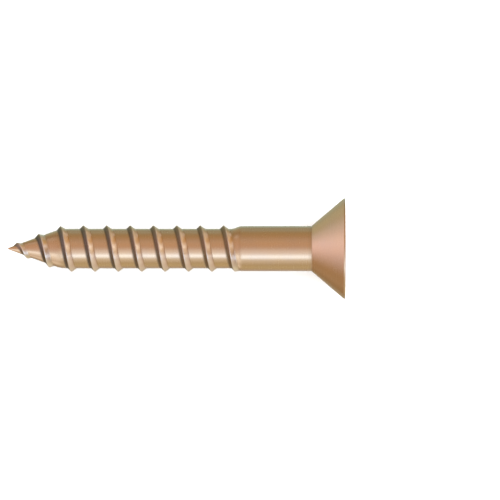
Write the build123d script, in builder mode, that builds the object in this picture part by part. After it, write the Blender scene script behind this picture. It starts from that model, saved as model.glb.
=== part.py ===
from build123d import *
import math
import os

# A flat head wood screw, lying at rest on its side. All lengths are in mm.
# Every profile is drawn along the screw's own axis: u runs from the tip (0) to
# the flat of the head (LENGTH), and r is the distance from the axis.

LENGTH = 38.1            # overall, which is how a countersunk screw is measured

# head
HEAD_DIA = 11.36
HEAD_CONE = 81.3         # included angle under the head, degrees
HEAD_LAND = 0.16         # height of the thin cylindrical rim
RIM_ROUND = 0.05         # edge break of the rim

# square recess, which narrows towards its floor
RECESS_MOUTH = 3.94      # across the flats at the face
RECESS_FLOOR = 3.19      # across the flats at the floor
RECESS_DEPTH = 2.8
RECESS_CORNER = 0.12     # corner radius of the square

# shank and core
SHANK_DIA = 5.09         # plain part under the head
ROOT_DIA = 4.46          # core between the turns of thread
SHOULDER_START = 25.37   # where the core begins to grow to the shank
SHOULDER_END = 26.27
SHOULDER_BLEND = 0.9     # radius that softens both ends of the shoulder

# gimlet point
POINT_SLOPE = 0.365      # rise of the core's radius per mm along the point
POINT_BACK = 0.168       # the cone's own apex lies this far outside the tip
POINT_BLEND = 0.09       # softness of the change from point to core

# thread, one start, right-handed
CREST_DIA = 5.22
PITCH = 2.637
POINT_PITCH = 2.478      # the turns lie a little closer on the point
THREAD_PHASE = 6.557     # u of the crest after the first quarter turn
CREST_FLAT = 0.05
FLANK_TIP_SIDE = 0.36    # base of the steeper flank, which faces the tip
FLANK_HEAD_SIDE = 0.62   # base of the flank that faces the head
BURIED = 0.12            # how far the ridge reaches into the core
THREAD_FROM = -2.30      # first and last turn of the ridge, counted in turns
FADE_IN_TO = -1.95       # it is full from here
FADE_OUT_FROM = 7.50     # and sinks into the shank from here
THREAD_TO = 7.90
BEARING_TURN = -0.25     # here the crest touches the floor together with the next turn's
BEARING_TRIM = -0.025
STEPS_PER_TURN = 12

HEAD_R, SHANK_R, ROOT_R, CREST_R = (d / 2 for d in (HEAD_DIA, SHANK_DIA, ROOT_DIA, CREST_DIA))
LAND_AT = LENGTH - HEAD_LAND
CONE_FROM = LAND_AT - (HEAD_R - SHANK_R) / math.tan(math.radians(HEAD_CONE / 2))


def smooth(a, b, x):
    t = min(1.0, max(0.0, (x - a) / (b - a)))
    return t * t * (3 - 2 * t)


def core(u):
    """Radius of the core at u, without the thread, up to the head's cone."""
    cone, w = POINT_SLOPE * (u + POINT_BACK), POINT_BLEND
    r = -w * math.log(math.exp(-cone / w) + math.exp(-ROOT_R / w))
    rise = min(1.0, max(0.0, (u - SHOULDER_START) / (SHOULDER_END - SHOULDER_START)))
    return r + (SHANK_R - ROOT_R) * rise


def crest_at(turns):
    """u of the thread's crest after so many turns."""
    return THREAD_PHASE + (PITCH if turns > 0.25 else POINT_PITCH) * (turns - 0.25)


def crest_radius(turns):
    """Radius of the crest: it grows out of the tip and sinks into the shank."""
    at_core = core(crest_at(turns))
    r = min(at_core, ROOT_R) + CREST_R - ROOT_R
    r += BEARING_TRIM * math.exp(-(((turns - BEARING_TURN) / 0.3) ** 2))
    r = at_core - 0.04 + smooth(THREAD_FROM, FADE_IN_TO, turns) * (r - at_core + 0.04)
    return r + smooth(FADE_OUT_FROM, THREAD_TO, turns) * (SHANK_R - 0.05 - r)


# ---- how it lies: the head's rim and the crest at three quarters of a turn
# touch the floor, so the axis rises from the tip to the head
rim_u = LAND_AT + RIM_ROUND * math.tan(math.radians(HEAD_CONE / 4))
run = rim_u - crest_at(0.75) + CREST_FLAT / 2
rise = HEAD_R - RIM_ROUND - CREST_R
TILT = math.atan2(rise, run) + math.asin(RIM_ROUND / math.hypot(rise, run))
LOWEST = rim_u * math.sin(TILT) - (HEAD_R - RIM_ROUND) * math.cos(TILT) - RIM_ROUND
FURTHEST = ((LENGTH - RIM_ROUND) * math.cos(TILT)
            + (HEAD_R - RIM_ROUND) * math.sin(TILT) + RIM_ROUND)
axis_dir = Vector(math.cos(TILT), 0, math.sin(TILT))
side, up = Vector(0, 1, 0), Vector(-math.sin(TILT), 0, math.cos(TILT))
along = Plane(origin=(-FURTHEST / 2, 0, -LOWEST), x_dir=axis_dir, z_dir=up)   # local X is the axis


def half_plane(turns):
    """The plane through the axis so many turns round from the side, right-handed."""
    radial = side * math.cos(2 * math.pi * turns) + up * math.sin(2 * math.pi * turns)
    return Plane(origin=along.origin, x_dir=axis_dir, z_dir=axis_dir.cross(radial))


# ---- the thread: a ridge drawn in planes through the axis, in six stretches
ridges = []
for first, last in ((THREAD_FROM, -0.25), (-0.25, 1.75), (1.75, 3.75),
                    (3.75, 5.5), (5.5, 7.0), (7.0, THREAD_TO)):
    steps = round((last - first) * STEPS_PER_TURN)
    with BuildPart() as ridge:
        for i in range(steps + 1):
            turns = first + (last - first) * i / steps
            u, r = crest_at(turns), crest_radius(turns)
            grown = smooth(THREAD_FROM - 0.15, FADE_IN_TO + 0.25, turns)
            tip_foot, head_foot = u - FLANK_TIP_SIDE * grown, u + FLANK_HEAD_SIDE * grown
            flat = CREST_FLAT / 2 * grown
            with BuildSketch(half_plane(turns)):
                Polygon((tip_foot, max(0.02, core(max(tip_foot, 0.0)) - BURIED)),
                        (head_foot, max(0.02, core(head_foot) - BURIED)),
                        (u + flat, r), (u - flat, r), align=None)
        loft()
    ridges.append(ridge.part)

# ---- the screw: point, core, shoulder, shank and head turned as one profile,
# then the thread on it and the square recess in its head
POINT_U = [0.10, 0.5, 1.2, 2.2, 3.4, 4.4, 5.0, 5.5, 6.0, 6.6]
CORE_FROM = 7.4
with BuildPart() as screw:
    with BuildSketch(half_plane(0.25)) as profile:
        with BuildLine():
            start = (POINT_U[0], core(POINT_U[0]))
            ThreePointArc((0, 0), (0.03, 0.7 * start[1]), start)
            Spline(*[(u, core(u)) for u in POINT_U], (CORE_FROM, ROOT_R),
                   tangents=[(1, POINT_SLOPE), (1, 0)])
            Polyline((CORE_FROM, ROOT_R), (SHOULDER_START, ROOT_R), (SHOULDER_END, SHANK_R),
                     (CONE_FROM, SHANK_R), (LAND_AT, HEAD_R), (LENGTH, HEAD_R), (LENGTH, 0), (0, 0))
        make_face()
        fillet([v for v in profile.vertices()
                if SHOULDER_START - 0.01 < v.X < SHOULDER_END + 0.01], SHOULDER_BLEND)
        fillet([v for v in profile.vertices() if v.Y > HEAD_R - 0.01], RIM_ROUND)
    revolve(axis=Axis(along.origin, axis_dir))

    for ridge_part in ridges:
        add(ridge_part)

    for depth, across in ((0, RECESS_MOUTH), (RECESS_DEPTH, RECESS_FLOOR)):
        level = Plane(origin=along.origin + axis_dir * (LENGTH - depth),
                      x_dir=(0, 1, 0), z_dir=axis_dir)
        with BuildSketch(level):
            RectangleRounded(across, across, RECESS_CORNER)
    loft(mode=Mode.SUBTRACT)

screw.part.label = "screw"
os.makedirs("parts", exist_ok=True)
export_step(screw.part, "parts/screw.step")

print("volume", round(screw.part.volume, 2), "tilt", round(math.degrees(TILT), 3),
      screw.part.bounding_box())
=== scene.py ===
import math

import bpy
import numpy as np
from mathutils import Matrix, Vector


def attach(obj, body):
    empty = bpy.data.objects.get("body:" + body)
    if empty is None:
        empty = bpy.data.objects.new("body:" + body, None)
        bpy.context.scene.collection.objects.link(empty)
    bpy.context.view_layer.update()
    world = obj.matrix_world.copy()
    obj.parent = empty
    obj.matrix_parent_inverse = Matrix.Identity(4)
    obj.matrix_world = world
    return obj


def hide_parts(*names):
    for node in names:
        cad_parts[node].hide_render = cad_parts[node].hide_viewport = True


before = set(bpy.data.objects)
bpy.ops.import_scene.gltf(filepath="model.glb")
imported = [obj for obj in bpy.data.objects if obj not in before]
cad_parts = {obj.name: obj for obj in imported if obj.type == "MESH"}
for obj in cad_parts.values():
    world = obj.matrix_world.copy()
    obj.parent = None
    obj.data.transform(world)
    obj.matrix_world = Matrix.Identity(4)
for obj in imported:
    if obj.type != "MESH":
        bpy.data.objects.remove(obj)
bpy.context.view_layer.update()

# ---------------------------------------------------------------- dimensions, mm
# u runs along the screw's axis from the tip (0) to the flat of the head (LENGTH),
# r is the distance from the axis, and turns counts the thread from the side, right-handed.
LENGTH = 38.1
HEAD_R = 5.68
HEAD_CONE = 81.3
HEAD_LAND = 0.16
RIM_ROUND = 0.05
MOUTH, FLOOR, DEPTH, CORNER = 3.94, 3.19, 2.8, 0.12
SHANK_R, ROOT_R, CREST_R = 2.545, 2.23, 2.61
SHOULDER_START, SHOULDER_END = 25.37, 26.27
POINT_SLOPE, POINT_BACK, POINT_BLEND = 0.365, 0.168, 0.09
PITCH, POINT_PITCH, THREAD_PHASE = 2.637, 2.478, 6.557
CREST_FLAT = 0.05
THREAD_FROM, FADE_IN_TO, FADE_OUT_FROM, THREAD_TO = -2.30, -1.95, 7.50, 7.90
POINT_HEIGHT, FULL_HEIGHT_FROM = 0.6, -0.4
BEARING_TURN, BEARING_TRIM = -0.25, -0.034
TIP_FLANK, HEAD_FLANK = 0.40, 0.54      # axial width of the two flanks, foot to crest
TIP_FOOT, HEAD_FOOT = 1.12, 1.08        # above 1 the foot runs out in a hollow curve
NECK_ROUND = 0.10                       # hollow between the shank and the head's cone
SHY = 0.003                             # the outermost edges stay this much inside the frame's

LAND_AT = LENGTH - HEAD_LAND
CONE_ANGLE = math.radians(HEAD_CONE / 2)
CONE_FROM = LAND_AT - (HEAD_R - SHANK_R) / math.tan(CONE_ANGLE)


def smooth(a, b, x):
    t = min(1.0, max(0.0, (x - a) / (b - a)))
    return t * t * (3 - 2 * t)


def core(u):
    cone, w = POINT_SLOPE * (u + POINT_BACK), POINT_BLEND
    r = -w * math.log(math.exp(-cone / w) + math.exp(-ROOT_R / w))
    return r + (SHANK_R - ROOT_R) * smooth(SHOULDER_START - 0.15, SHOULDER_END + 0.15, u)


def crest_at(turns):
    return THREAD_PHASE + (PITCH if turns > 0.25 else POINT_PITCH) * (turns - 0.25)


def crest_radius(turns):
    at_core = core(crest_at(turns))
    height = POINT_HEIGHT + (1 - POINT_HEIGHT) * smooth(-1.8, FULL_HEIGHT_FROM, turns)
    r = min(at_core, ROOT_R) + (CREST_R - ROOT_R) * height
    r += BEARING_TRIM * math.exp(-(((turns - BEARING_TURN) / 0.3) ** 2))
    r = at_core - 0.04 + smooth(THREAD_FROM, FADE_IN_TO, turns) * (r - at_core + 0.04)
    return r + smooth(FADE_OUT_FROM, THREAD_TO, turns) * (SHANK_R - 0.05 - r)


# ---------------------------------------------------------------- how it lies
rim_u = LAND_AT + RIM_ROUND * math.tan(math.radians(HEAD_CONE / 4))
run = rim_u - crest_at(0.75) + CREST_FLAT / 2
rise = HEAD_R - RIM_ROUND - CREST_R
TILT = math.atan2(rise, run) + math.asin(RIM_ROUND / math.hypot(rise, run))
LOWEST = rim_u * math.sin(TILT) - (HEAD_R - RIM_ROUND) * math.cos(TILT) - RIM_ROUND
FURTHEST = ((LENGTH - RIM_ROUND) * math.cos(TILT)
            + (HEAD_R - RIM_ROUND) * math.sin(TILT) + RIM_ROUND)
A = Vector((math.cos(TILT), 0, math.sin(TILT)))     # along the axis, tip to head
S = Vector((0, 1, 0))                               # to the side
N = Vector((-math.sin(TILT), 0, math.cos(TILT)))    # square to the axis, upwards
TIP = Vector((-FURTHEST / 2, 0, -LOWEST)) / 1000    # in metres

# ---------------------------------------------------------------- the mesh
COLS = 192
phi = np.arange(COLS) * 2 * math.pi / COLS

points, faces = [], []
marks = []       # for each point: how deep in a corner (tarnishing and painted shade), how much painted shade on the thread's flank that faces the tip, how much wear and painted light


def add_points(u, y, n, corner=0.0, rubbed=0.0):
    """Adds points given in mm along the axis, to the side and up; returns their numbers."""
    u, y, n = (np.broadcast_to(np.asarray(v, float), (COLS,)) for v in (u, y, n))
    first = len(points)
    points.extend(zip(u, y, n))
    marks.extend([(corner, 0.0, rubbed)] * COLS)
    return list(range(first, first + COLS))


def ring(u, r, corner=0.0, rubbed=0.0):
    return add_points(u, r * np.cos(phi), r * np.sin(phi), corner, rubbed)


def bridge(low, high):
    """Joins two rings of points, the second one further along the surface."""
    for j in range(COLS):
        k = (j + 1) % COLS
        faces.append((low[j], low[k], high[k], high[j]))


# the rounded tip, from its very point to where the thread's rows begin
ROWS_FROM, ROWS_TO = 0.16, 27.6
tip_r = core(0.10)
points.append((0.0, 0.0, 0.0))
marks.append((0.0, 0.0, 0.0))
tip_rings = [ring(u, r) for u, r in ((0.006, 0.30 * tip_r), (0.022, 0.58 * tip_r),
                                     (0.05, 0.80 * tip_r), (0.10, tip_r), (0.13, core(0.13)))]
for j in range(COLS):
    faces.append((0, tip_rings[0][(j + 1) % COLS], tip_rings[0][j]))
for low, high in zip(tip_rings, tip_rings[1:]):
    bridge(low, high)
start_ring = ring(ROWS_FROM, core(ROWS_FROM))
bridge(tip_rings[-1], start_ring)
end_ring = ring(ROWS_TO, core(ROWS_TO))

# the threaded part: rows that follow the helix, with the valleys between its turns
RIDGE = (-0.56, -0.47, -0.41, -0.35, -0.28, -0.21, -0.14, -0.07, -0.025,
         0.025, 0.075, 0.14, 0.21, 0.29, 0.37, 0.45, 0.51, 0.56, 0.63, 0.74)
VALLEY = 8
ROWS = len(RIDGE) + VALLEY
FIRST_TURN, LAST_TURN = -4, 10


def thread_point(turns, q):
    """u, r and the marks of a point in row q of that turn."""
    here = crest_at(turns)
    if q < len(RIDGE):
        o = RIDGE[q]
        u = here + o
    else:
        f = (q - len(RIDGE) + 1) / (VALLEY + 1)
        u = (here + RIDGE[-1]) * (1 - f) + (crest_at(turns + 1) + RIDGE[0]) * f
        o = u - here
    u = min(ROWS_TO, max(ROWS_FROM, u))
    base = core(u)
    crest = crest_radius(turns)
    height = max(0.0, crest - SHY - core(here)) if THREAD_FROM <= turns <= THREAD_TO else 0.0
    if height == 0.0:
        return u, base, (0.0, 0.0, 0.0)
    half = CREST_FLAT / 2
    side = max(0.0, abs(o) - half)
    width, power = (TIP_FLANK, TIP_FOOT) if o < 0 else (HEAD_FLANK, HEAD_FOOT)
    # a ridge that is still low is also narrow
    grown = min(1.0, height / 0.30)
    width = (width - half) * (0.35 + 0.65 * grown)
    shape = max(0.0, 1 - side / width) ** power
    # a little darker at the ridge's foot: partly tarnishing, partly painted shade in the crease
    foot = math.exp(-((side - width) / 0.13) ** 2) * grown * (1.0 if o < 0 else 0.25)
    tipward = rubbed = 0.0
    if o < 0:
        # painted shade on the flank facing the tip, darkest at the foot, thinner towards the crest; the crest is
        # painted paler as wear
        tipward = grown * (0.55 + 0.45 * smooth(0.0, 0.35, side / width) if side < width
                           else math.exp(-((side - width) / 0.09) ** 2))
        rubbed = grown * 0.3 * max(0.0, 1 - side / 0.05)
    # the flank facing the head is painted lighter, most at the crest: painted light
    elif side < width:
        rubbed = grown * (1 - side / width) ** 0.35
    return u, base + height * shape, (foot, tipward, rubbed)


table = []
for turn in range(FIRST_TURN, LAST_TURN):
    for q in range(ROWS):
        table.append([thread_point(turn + j / COLS, q) for j in range(COLS)])
rows = []
for line in table:
    numbers = []
    for j, (u, r, mark) in enumerate(line):
        if u <= ROWS_FROM:
            numbers.append(start_ring[j])
        elif u >= ROWS_TO:
            numbers.append(end_ring[j])
        else:
            numbers.append(len(points))
            points.append((u, r * math.cos(phi[j]), r * math.sin(phi[j])))
            marks.append(mark)
    rows.append(numbers)
for i in range(len(rows) - 1):
    for j in range(COLS):
        if j + 1 < COLS:
            right_low, right_high = rows[i][j + 1], rows[i + 1][j + 1]
        elif i + 1 + ROWS < len(rows):
            # after a whole turn a row goes on as the row one turn further along
            right_low, right_high = rows[i + ROWS][0], rows[i + ROWS + 1][0]
        else:
            right_low = right_high = end_ring[0]
        corners = []
        for p in (rows[i][j], right_low, right_high, rows[i + 1][j]):
            if p not in corners:
                corners.append(p)
        if len(corners) > 2:
            faces.append(tuple(corners))
# the column where the rows wrap begins one turn late: its first rows lie on the start ring
for i in range(-ROWS, 0):
    low, high = start_ring[COLS - 1], start_ring[COLS - 1]
    right_low, right_high = rows[i + ROWS][0], rows[i + ROWS + 1][0]
    corners = []
    for p in (low, right_low, right_high, high):
        if p not in corners:
            corners.append(p)
    if len(corners) > 2:
        faces.append(tuple(corners))

# the plain shank, the neck and the underside of the head
outline = [(u, SHANK_R, 0.0, 0.0) for u in (28.4, 29.4, 30.4, 31.4, 32.4, 33.2, 33.8)]
bend = NECK_ROUND * math.tan(CONE_ANGLE / 2)
# the neck's hollow is painted darker: partly tarnishing, partly painted shade
for i in range(7):
    t = CONE_ANGLE * i / 6
    outline.append((CONE_FROM - bend + NECK_ROUND * math.sin(t),
                    SHANK_R + NECK_ROUND * (1 - math.cos(t)), 1.0 - abs(i - 3) / 6, 0.0))
neck_u, neck_r = outline[-1][:2]
cone_u = LAND_AT - RIM_ROUND * math.tan(CONE_ANGLE / 2) * math.cos(CONE_ANGLE)
cone_r = HEAD_R - RIM_ROUND * math.tan(CONE_ANGLE / 2) * math.sin(CONE_ANGLE)
for f in (0.03, 0.1, 0.25, 0.42, 0.6, 0.78, 0.92, 0.98):
    outline.append((neck_u + (cone_u - neck_u) * f, neck_r + (cone_r - neck_r) * f, 0.0, 0.0))
# rim: a rounding, the thin land, and the rounding to the face
centre_u = LAND_AT + RIM_ROUND * math.tan(CONE_ANGLE / 2)
for i in range(5):
    t = CONE_ANGLE * (1 - i / 4)
    outline.append((centre_u - RIM_ROUND * math.sin(t),
                    HEAD_R - SHY - RIM_ROUND * (1 - math.cos(t)), 0.25, 0.0))
for i in range(7):
    t = math.pi / 2 * i / 6
    outline.append((LENGTH - RIM_ROUND + RIM_ROUND * math.sin(t),
                    HEAD_R - SHY - RIM_ROUND * (1 - math.cos(t)), 0.0, 0.1 * i))
for r in (5.56, 5.3, 4.9, 4.4, 3.9):
    outline.append((LENGTH, r, 0.0, 0.35))
last = end_ring
for u, r, corner, rubbed in outline:
    now = ring(u, r, corner, rubbed)
    bridge(last, now)
    last = now

# the square recess: rings go over from the circle to a square with small corners
per_corner = 8
per_side = COLS // 4 - per_corner


def square(half, round_r):
    """COLS points of a rounded square, in order with the columns."""
    out = []
    straight = half - round_r
    for quarter in range(4):
        spin = quarter * math.pi / 2
        for i in range(COLS // 4):
            if i <= per_side // 2:
                p = (half, straight * i / (per_side / 2))
            elif i < per_side // 2 + per_corner:
                t = math.pi / 2 * (i - per_side / 2) / per_corner
                p = (straight + round_r * math.cos(t), straight + round_r * math.sin(t))
            else:
                p = (straight * (COLS // 4 - i) / (per_side / 2), half)
            out.append((p[0] * math.cos(spin) - p[1] * math.sin(spin),
                        p[0] * math.sin(spin) + p[1] * math.cos(spin)))
    return np.array(out)


EDGE = 0.05
face_circle = np.stack([3.9 * np.cos(phi), 3.9 * np.sin(phi)], 1)
mouth_outer = square(MOUTH / 2 + EDGE, CORNER + EDGE)
for f in (0.3, 0.6, 0.8, 0.92):
    flat = face_circle * (1 - f) + mouth_outer * f
    now = add_points(LENGTH, flat[:, 0], flat[:, 1], 0.0, 0.35)
    bridge(last, now)
    last = now
levels = []
for i in range(6):
    t = math.pi / 2 * i / 5
    levels.append((EDGE * (1 - math.sin(t)), EDGE * (1 - math.cos(t)), 0.0, 0.8 - 0.1 * i))
# the recess walls are painted darker the deeper they go, darkest in the hollow at the bottom: partly tarnishing,
# partly painted shade
for d in (0.09, 0.2, 0.5, 0.9, 1.3, 1.7, 2.1, 2.4, 2.55):
    levels.append((0.0, d, 0.10 + 0.45 * d / DEPTH, 0.0))
HOLLOW = 0.16
for i in range(1, 7):
    t = math.pi / 2 * i / 6
    levels.append((-HOLLOW * (1 - math.cos(t)), DEPTH - HOLLOW * (1 - math.sin(t)), 0.9 - 0.06 * i, 0.0))
for out_by, d, corner, rubbed in levels:
    half = MOUTH / 2 - (MOUTH - FLOOR) / 2 * d / DEPTH + out_by
    flat = square(half, max(0.05, CORNER + out_by))
    now = add_points(LENGTH - d, flat[:, 0], flat[:, 1], corner, rubbed)
    bridge(last, now)
    last = now
floor_square = flat
# the recess floor is painted darker towards the walls: partly tarnishing, partly painted shade
for f in (0.93, 0.8, 0.6, 0.35, 0.12):
    now = add_points(LENGTH - DEPTH, floor_square[:, 0] * f, floor_square[:, 1] * f, 0.6 * f)
    bridge(last, now)
    last = now
centre = len(points)
points.append((LENGTH - DEPTH, 0.0, 0.0))
marks.append((0.0, 0.0, 0.0))
for j in range(COLS):
    faces.append((last[j], last[(j + 1) % COLS], centre))

# into the frame: the screw lies on its head's rim and its thread
local = np.array(points) / 1000
world = (np.array(TIP)[None, :] + local[:, :1] * np.array(A)[None, :]
         + local[:, 1:2] * np.array(S)[None, :] + local[:, 2:3] * np.array(N)[None, :])
used = np.zeros(len(points), bool)
used[[p for f in faces for p in f]] = True
renumber = np.cumsum(used) - 1
mesh = bpy.data.meshes.new("wood_screw")
mesh.from_pydata(world[used].tolist(), [], [[int(renumber[p]) for p in f] for f in faces])
for k, name in enumerate(("corner", "tipward", "rubbed")):
    layer = mesh.attributes.new(name, "FLOAT", "POINT")
    layer.data.foreach_set("value", np.array(marks, np.float32)[used, k])
mesh.polygons.foreach_set("use_smooth", [True] * len(mesh.polygons))
mesh.validate()
mesh.update()
screw = bpy.data.objects.new("wood_screw", mesh)
bpy.context.scene.collection.objects.link(screw)


# ---------------------------------------------------------------- the metal
BRONZE_WARM = (0.632, 0.382, 0.214)
BRONZE_PALE = (0.604, 0.376, 0.230)
TARNISH_AND_SHADE = (0.24, 0.13, 0.07)
FLANK_SHADE = (0.215, 0.130, 0.066)
FLANK_SHADE_NEAR_TIP = (0.128, 0.094, 0.072)
WORN_AND_LIT = (0.93, 0.78, 0.65)


def node(tree, kind, at, **values):
    n = tree.nodes.new(kind)
    n.location = at
    for key, value in values.items():
        if key.startswith("in_"):
            n.inputs[int(key[3:])].default_value = value
        else:
            setattr(n, key, value)
    return n


bronze = bpy.data.materials.new("silicon_bronze")
bronze.use_nodes = True
tree = bronze.node_tree
tree.nodes.clear()
link = tree.links.new
out = node(tree, "ShaderNodeOutputMaterial", (1400, 0))
metal = node(tree, "ShaderNodeBsdfPrincipled", (1100, 0))
metal.inputs["Metallic"].default_value = 1.0
link(metal.outputs[0], out.inputs[0])
mesh.materials.append(bronze)

# the screw's own coordinates in mm: along the axis from the tip, to the side, up
coords = node(tree, "ShaderNodeTexCoord", (-1600, 0))
own = node(tree, "ShaderNodeMapping", (-1400, 0), vector_type="TEXTURE",
           in_1=tuple(TIP), in_2=(0.0, -TILT, 0.0), in_3=(0.001, 0.001, 0.001))
link(coords.outputs["Object"], own.inputs[0])
split = node(tree, "ShaderNodeSeparateXYZ", (-1200, 0))
link(own.outputs[0], split.inputs[0])


def math_node(operation, at, *values, clamp=False):
    n = node(tree, "ShaderNodeMath", at, operation=operation, use_clamp=clamp)
    for i, value in enumerate(values):
        if isinstance(value, (int, float)):
            n.inputs[i].default_value = value
        else:
            link(value, n.inputs[i])
    return n.outputs[0]


def noise(vector, at, scale, detail, rough=0.55):
    n = node(tree, "ShaderNodeTexNoise", at)
    n.inputs["Scale"].default_value = scale
    n.inputs["Detail"].default_value = detail
    n.inputs["Roughness"].default_value = rough
    link(vector, n.inputs["Vector"])
    return n.outputs[0]


def blend(factor, below, colour, at):
    n = node(tree, "ShaderNodeMix", at, data_type="RGBA")
    link(factor, n.inputs[0])
    if isinstance(below, tuple):
        n.inputs[6].default_value = (*below, 1)
    else:
        link(below, n.inputs[6])
    n.inputs[7].default_value = (*colour, 1)
    return n.outputs[2]


def mark(name, at):
    n = node(tree, "ShaderNodeAttribute", at, attribute_name=name)
    return n.outputs["Fac"]


corner, tipward, rubbed = mark("corner", (-1200, -400)), mark("tipward", (-1200, -600)), mark("rubbed", (-1200, -800))
across = node(tree, "ShaderNodeCombineXYZ", (-1000, 200))
link(split.outputs[1], across.inputs[1])
link(split.outputs[2], across.inputs[2])
radius = node(tree, "ShaderNodeVectorMath", (-800, 200), operation="LENGTH")
link(across.outputs[0], radius.inputs[0])
# turned marks run round the axis: they change quickly along the outline and slowly round it
run_along = math_node("MULTIPLY_ADD", (-600, 200), radius.outputs["Value"], 0.6, split.outputs[0])
round_and_round = node(tree, "ShaderNodeCombineXYZ", (-400, 200))
link(run_along, round_and_round.inputs[0])
link(split.outputs[1], round_and_round.inputs[1])
link(split.outputs[2], round_and_round.inputs[2])
stretched = node(tree, "ShaderNodeVectorMath", (-200, 200), operation="MULTIPLY", in_1=(9.0, 0.35, 0.35))
link(round_and_round.outputs[0], stretched.inputs[0])
turned = noise(stretched.outputs[0], (0, 200), 1.0, 4.0, 0.65)
wide_rings = node(tree, "ShaderNodeVectorMath", (-200, 400), operation="MULTIPLY", in_1=(4.3, 0.04, 0.04))
link(round_and_round.outputs[0], wide_rings.inputs[0])
rings = noise(wide_rings.outputs[0], (0, 400), 1.0, 2.0, 0.5)
patches = noise(own.outputs[0], (0, 0), 0.42, 4.0)
grain = noise(own.outputs[0], (0, -200), 7.0, 4.0, 0.6)

# colour: two close tones of bronze, tarnishing and painted shade in the corners and hollows, painted shade on the
# thread's flanks facing the tip, and wear and painted light on the crest, rim, face and the flanks facing the head
tone = blend(math_node("MULTIPLY_ADD", (200, 0), patches, 2.4, -0.7, clamp=True),
             BRONZE_WARM, BRONZE_PALE, (400, 0))
# corners and hollows painted darker in patches: partly tarnishing, partly painted shade
patchiness = math_node("MULTIPLY_ADD", (200, -150), patches, 0.6, 0.1)
tarnish_and_shade = math_node("MULTIPLY", (400, -150), corner, patchiness, clamp=True)
tone = blend(tarnish_and_shade, tone, TARNISH_AND_SHADE, (600, 0))
# painted shade on the thread's flanks facing the tip, blacker towards the tip, and uneven
fade = node(tree, "ShaderNodeMapRange", (200, -350), in_1=6.0, in_2=24.0, in_3=1.0, in_4=0.0)
link(split.outputs[0], fade.inputs[0])
flank_shade_colour = blend(fade.outputs[0], FLANK_SHADE, FLANK_SHADE_NEAR_TIP, (400, -480))
uneven = math_node("MULTIPLY_ADD", (200, -480), grain, 0.5, 0.68)
flank_shade = math_node("MULTIPLY", (400, -350), tipward, uneven, clamp=True)
n = node(tree, "ShaderNodeMix", (800, 0), data_type="RGBA")
for source, socket in ((flank_shade, 0), (tone, 6), (flank_shade_colour, 7)):
    link(source, n.inputs[socket])
tone = n.outputs[2]
# paler where worn at the crest, rim, face and recess mouth, plus painted light on the flanks facing the head
painted_light_and_wear = math_node("MULTIPLY", (400, -500), rubbed, 0.9)
tone = blend(painted_light_and_wear, tone, WORN_AND_LIT, (950, 0))
link(tone, metal.inputs["Base Color"])

# gloss: grain and turned marks, duller where tarnishing and painted shade lie
dull = math_node("MULTIPLY_ADD", (600, -300), grain, 0.03, 0.225)
dull = math_node("MULTIPLY_ADD", (750, -300), turned, 0.05, dull)
dull = math_node("MULTIPLY_ADD", (900, -300), tarnish_and_shade, 0.25, dull)
dull = math_node("MULTIPLY_ADD", (1000, -300), flank_shade, 0.15, dull)
dull = math_node("MULTIPLY_ADD", (1000, -450), rubbed, 0.08, dull, clamp=True)
link(dull, metal.inputs["Roughness"])

relief = math_node("MULTIPLY_ADD", (600, -600), grain, 0.04, turned)
# the face of the head was turned with a coarser feed
on_face = math_node("GREATER_THAN", (400, -700), split.outputs[0], LENGTH - 0.02)
coarse = math_node("MULTIPLY", (600, -750), on_face, 52.0)
relief = math_node("MULTIPLY_ADD", (750, -700), rings, coarse, relief)
bump = node(tree, "ShaderNodeBump", (900, -600))
bump.inputs["Strength"].default_value = 1.0
bump.inputs["Distance"].default_value = 0.0000003
link(relief, bump.inputs["Height"])
link(bump.outputs[0], metal.inputs["Normal"])

# the marks run round the axis, so the gloss is drawn out along it
from_tip = node(tree, "ShaderNodeVectorMath", (-1200, -1000), operation="SUBTRACT", in_1=tuple(TIP))
link(coords.outputs["Object"], from_tip.inputs[0])
around = node(tree, "ShaderNodeVectorMath", (-1000, -1000), operation="CROSS_PRODUCT", in_1=tuple(A))
link(from_tip.outputs[0], around.inputs[0])
unit = node(tree, "ShaderNodeVectorMath", (-800, -1000), operation="NORMALIZE")
link(around.outputs[0], unit.inputs[0])
link(unit.outputs[0], metal.inputs["Tangent"])
metal.inputs["Anisotropic"].default_value = 0.55
metal.inputs["Anisotropic Rotation"].default_value = 0.25

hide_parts("screw")
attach(screw, "root")

# ---------------------------------------------------------------- floor
half = 2.5
floor_mesh = bpy.data.meshes.new("floor")
floor_mesh.from_pydata([(-half, -half, 0), (half, -half, 0), (half, half, 0), (-half, half, 0)],
                       [], [(0, 1, 2, 3)])
floor = bpy.data.objects.new("floor", floor_mesh)
bpy.context.scene.collection.objects.link(floor)
floor.location.z = -0.00002
floor.visible_glossy = False
paint = bpy.data.materials.new("floor_paint")
paint.use_nodes = True
paint.node_tree.nodes["Principled BSDF"].inputs["Base Color"].default_value = (0.9, 0.9, 0.9, 1)
paint.node_tree.nodes["Principled BSDF"].inputs["Roughness"].default_value = 0.9
floor_mesh.materials.append(paint)

# ---------------------------------------------------------------- light
world_shader = bpy.data.worlds.new("studio")
bpy.context.scene.world = world_shader
world_shader.cycles_visibility.diffuse = False
world_shader.use_nodes = True
sky = world_shader.node_tree
sky.nodes.clear()


def direction(along, down, up):
    """A direction in the world from one given along the axis, to the picture's bottom and up to the camera."""
    return (A * along - S * down + N * up).normalized()


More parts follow.
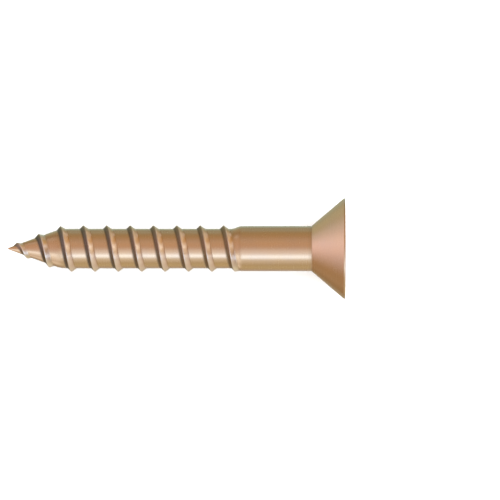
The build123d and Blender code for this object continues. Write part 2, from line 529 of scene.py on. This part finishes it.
BASE_SKY = (0.31, 0.14, 0.00)
LOBES = (
    # along, down, up; sharpness; squeeze; colour
    ((0.00, -0.50, -0.87), 12.0, 0.0, (0.17, 0.55, 0.73)),
    ((0.00, -1.00, 0.09), 12.0, 0.0, (0.14, 0.28, 0.28)),
    ((0.00, -0.71, 0.71), 12.0, 0.0, (0.07, 0.23, 0.39)),
    ((0.00, -0.34, 0.94), 12.0, 0.0, (0.38, 0.37, 0.35)),
    ((0.00, 0.34, 0.94), 12.0, 0.0, (0.80, 1.14, 1.57)),
    ((0.00, 0.94, 0.34), 12.0, 0.0, (0.48, 0.71, 0.79)),
    ((0.00, 0.94, -0.34), 12.0, 0.0, (0.08, 0.20, 0.04)),
    ((0.00, 0.42, -0.91), 12.0, 0.0, (0.18, 0.33, 0.50)),
    ((0.00, 0.64, 0.77), 60.0, 0.0, (0.82, 1.45, 2.48)),
    ((0.00, 0.74, 0.67), 60.0, 0.0, (0.85, 1.48, 2.47)),
    ((0.00, 0.00, -1.00), 3.0, 0.0, (0.07, 0.12, 0.00)),
    ((-0.64, -0.57, -0.53), 12.0, 0.0, (0.31, 0.55, 0.57)),
    ((-0.86, -0.50, -0.14), 12.0, 0.0, (0.08, 0.17, 0.20)),
    ((-0.97, -0.23, 0.10), 12.0, 0.0, (0.60, 0.78, 1.21)),
    ((-0.98, 0.10, 0.14), 12.0, 0.0, (0.38, 0.41, 0.64)),
    ((-0.81, 0.54, -0.23), 12.0, 0.0, (0.09, 0.10, 0.02)),
    ((0.43, -0.75, 0.50), 8.0, 0.0, (0.29, 0.18, 0.04)),
    ((0.43, 0.75, -0.50), 8.0, 0.0, (0.43, 0.50, 0.58)),
    ((-0.53, -0.63, 0.57), 8.0, 0.0, (0.28, 0.27, 0.21)),
    ((-0.82, 0.00, 0.57), 8.0, 0.0, (0.39, 0.41, 0.47)),
    ((-0.53, 0.63, 0.57), 8.0, 0.0, (0.48, 0.75, 1.01)),
    ((0.85, -0.52, -0.03), 24.0, 0.0, (0.40, 0.30, 0.20)),
    ((0.96, -0.11, 0.24), 24.0, 0.0, (0.95, 0.93, 0.82)),
    ((0.85, 0.52, -0.03), 24.0, 0.0, (0.62, 0.73, 0.76)),
    ((-0.39, 0.85, -0.34), 24.0, 0.0, (0.87, 1.12, 1.43)),
    ((-0.52, 0.83, 0.21), 24.0, 0.0, (0.64, 0.85, 1.08)),
    ((0.00, -0.94, -0.34), 30.0, 0.0, (0.14, 0.37, 0.48)),
    ((0.68, 0.48, 0.56), 60.0, 0.0, (1.00, 1.50, 2.20)),
    ((0.68, -0.48, 0.56), 60.0, 0.0, (0.80, 1.20, 1.70)),
    ((-0.66, 0.58, 0.48), 60.0, 0.0, (1.00, 1.50, 2.20)),
    ((-0.70, -0.70, 0.10), 60.0, 0.0, (0.60, 0.90, 1.30)),
    ((0.97, 0.22, 0.09), 200.0, 0.0, (3.00, 3.60, 4.20)),
    ((0.97, -0.22, 0.09), 200.0, 0.0, (2.00, 2.40, 2.80)),
    ((0.53, -0.80, -0.36), 200.0, 0.0, (2.00, 2.40, 2.80)),
    ((0.83, -0.48, -0.36), 200.0, 0.0, (2.60, 3.10, 3.60)),
)


def build_sky(base, lobes):
    """Soft lights round the screw: each is a round glow, or one squeezed to a strip along the screw."""
    sky.nodes.clear()
    out_node = node(sky, "ShaderNodeOutputWorld", (1200, 0))
    back = node(sky, "ShaderNodeBackground", (1000, 0))
    sky.links.new(back.outputs[0], out_node.inputs[0])
    coords = node(sky, "ShaderNodeTexCoord", (-1000, 0))
    total = node(sky, "ShaderNodeVectorMath", (-800, 300), operation="ADD", in_0=base)
    for i, (where, sharp, squeeze, colour) in enumerate(lobes):
        y = -250 * i
        middle = direction(*where)
        dot = node(sky, "ShaderNodeVectorMath", (-800, y), operation="DOT_PRODUCT", in_1=tuple(middle))
        sky.links.new(coords.outputs["Generated"], dot.inputs[0])
        power = node(sky, "ShaderNodeMath", (-600, y), operation="MULTIPLY_ADD", in_1=sharp, in_2=-sharp)
        sky.links.new(dot.outputs["Value"], power.inputs[0])
        if squeeze:
            off = node(sky, "ShaderNodeVectorMath", (-800, y - 120), operation="DOT_PRODUCT",
                       in_1=tuple(A.cross(middle).normalized()))
            sky.links.new(coords.outputs["Generated"], off.inputs[0])
            square_of = node(sky, "ShaderNodeMath", (-600, y - 120), operation="MULTIPLY")
            sky.links.new(off.outputs["Value"], square_of.inputs[0])
            sky.links.new(off.outputs["Value"], square_of.inputs[1])
            narrow = node(sky, "ShaderNodeMath", (-400, y - 120), operation="MULTIPLY_ADD", in_1=-squeeze)
            sky.links.new(square_of.outputs[0], narrow.inputs[0])
            sky.links.new(power.outputs[0], narrow.inputs[2])
            power = narrow
        glow = node(sky, "ShaderNodeMath", (-200, y), operation="EXPONENT")
        sky.links.new(power.outputs[0], glow.inputs[0])
        tint = node(sky, "ShaderNodeVectorMath", (0, y), operation="SCALE", in_0=colour)
        sky.links.new(glow.outputs[0], tint.inputs["Scale"])
        plus = node(sky, "ShaderNodeVectorMath", (200, y), operation="ADD")
        sky.links.new(total.outputs[0], plus.inputs[0])
        sky.links.new(tint.outputs[0], plus.inputs[1])
        total = plus
    sky.links.new(total.outputs[0], back.inputs["Color"])


build_sky(BASE_SKY, LOBES)


def sun(name, towards, strength, angle, colour=(1, 1, 1), glossy=True):
    lamp = bpy.data.lights.new(name, "SUN")
    lamp.energy = strength
    lamp.angle = math.radians(angle)
    lamp.color = colour
    obj = bpy.data.objects.new(name, lamp)
    bpy.context.scene.collection.objects.link(obj)
    obj.rotation_mode = "QUATERNION"
    obj.rotation_quaternion = Vector(towards).to_track_quat("Z", "Y")
    obj.visible_glossy = glossy
    return obj


# the metal reflects the sky; the floor is lit by these two, which the metal doesn't show
sun("floor_light", (-0.15, 0.1, 1.0), 3.9, 100, glossy=False)
sun("floor_fill", (0.0, 0.0, 1.0), 2.8, 175, glossy=False)

# ---------------------------------------------------------------- camera
PX = 0.11289e-3          # one pixel of the 500 x 500 picture, in metres on the screw
camera_data = bpy.data.cameras.new("camera")
camera_data.type = "PERSP"
camera_data.sensor_width = 36
camera_data.lens = 1000
camera_data.clip_start = 0.1
camera_data.clip_end = 10
camera = bpy.data.objects.new("camera", camera_data)
bpy.context.scene.collection.objects.link(camera)
middle_u, middle_y = (250 - 7.8) * PX, (250 - 248.6) * PX
target = TIP + A * middle_u - S * middle_y
camera.matrix_world = Matrix((
    (A.x, S.x, N.x, 0), (A.y, S.y, N.y, 0), (A.z, S.z, N.z, 0), (0, 0, 0, 1)))
camera.location = target + N * (500 * PX * 1000 / 36)
bpy.context.scene.camera = camera

scene = bpy.context.scene
scene.view_settings.view_transform = "Standard"
scene.view_settings.look = "None"
scene.view_settings.exposure = 0
scene.view_settings.gamma = 1
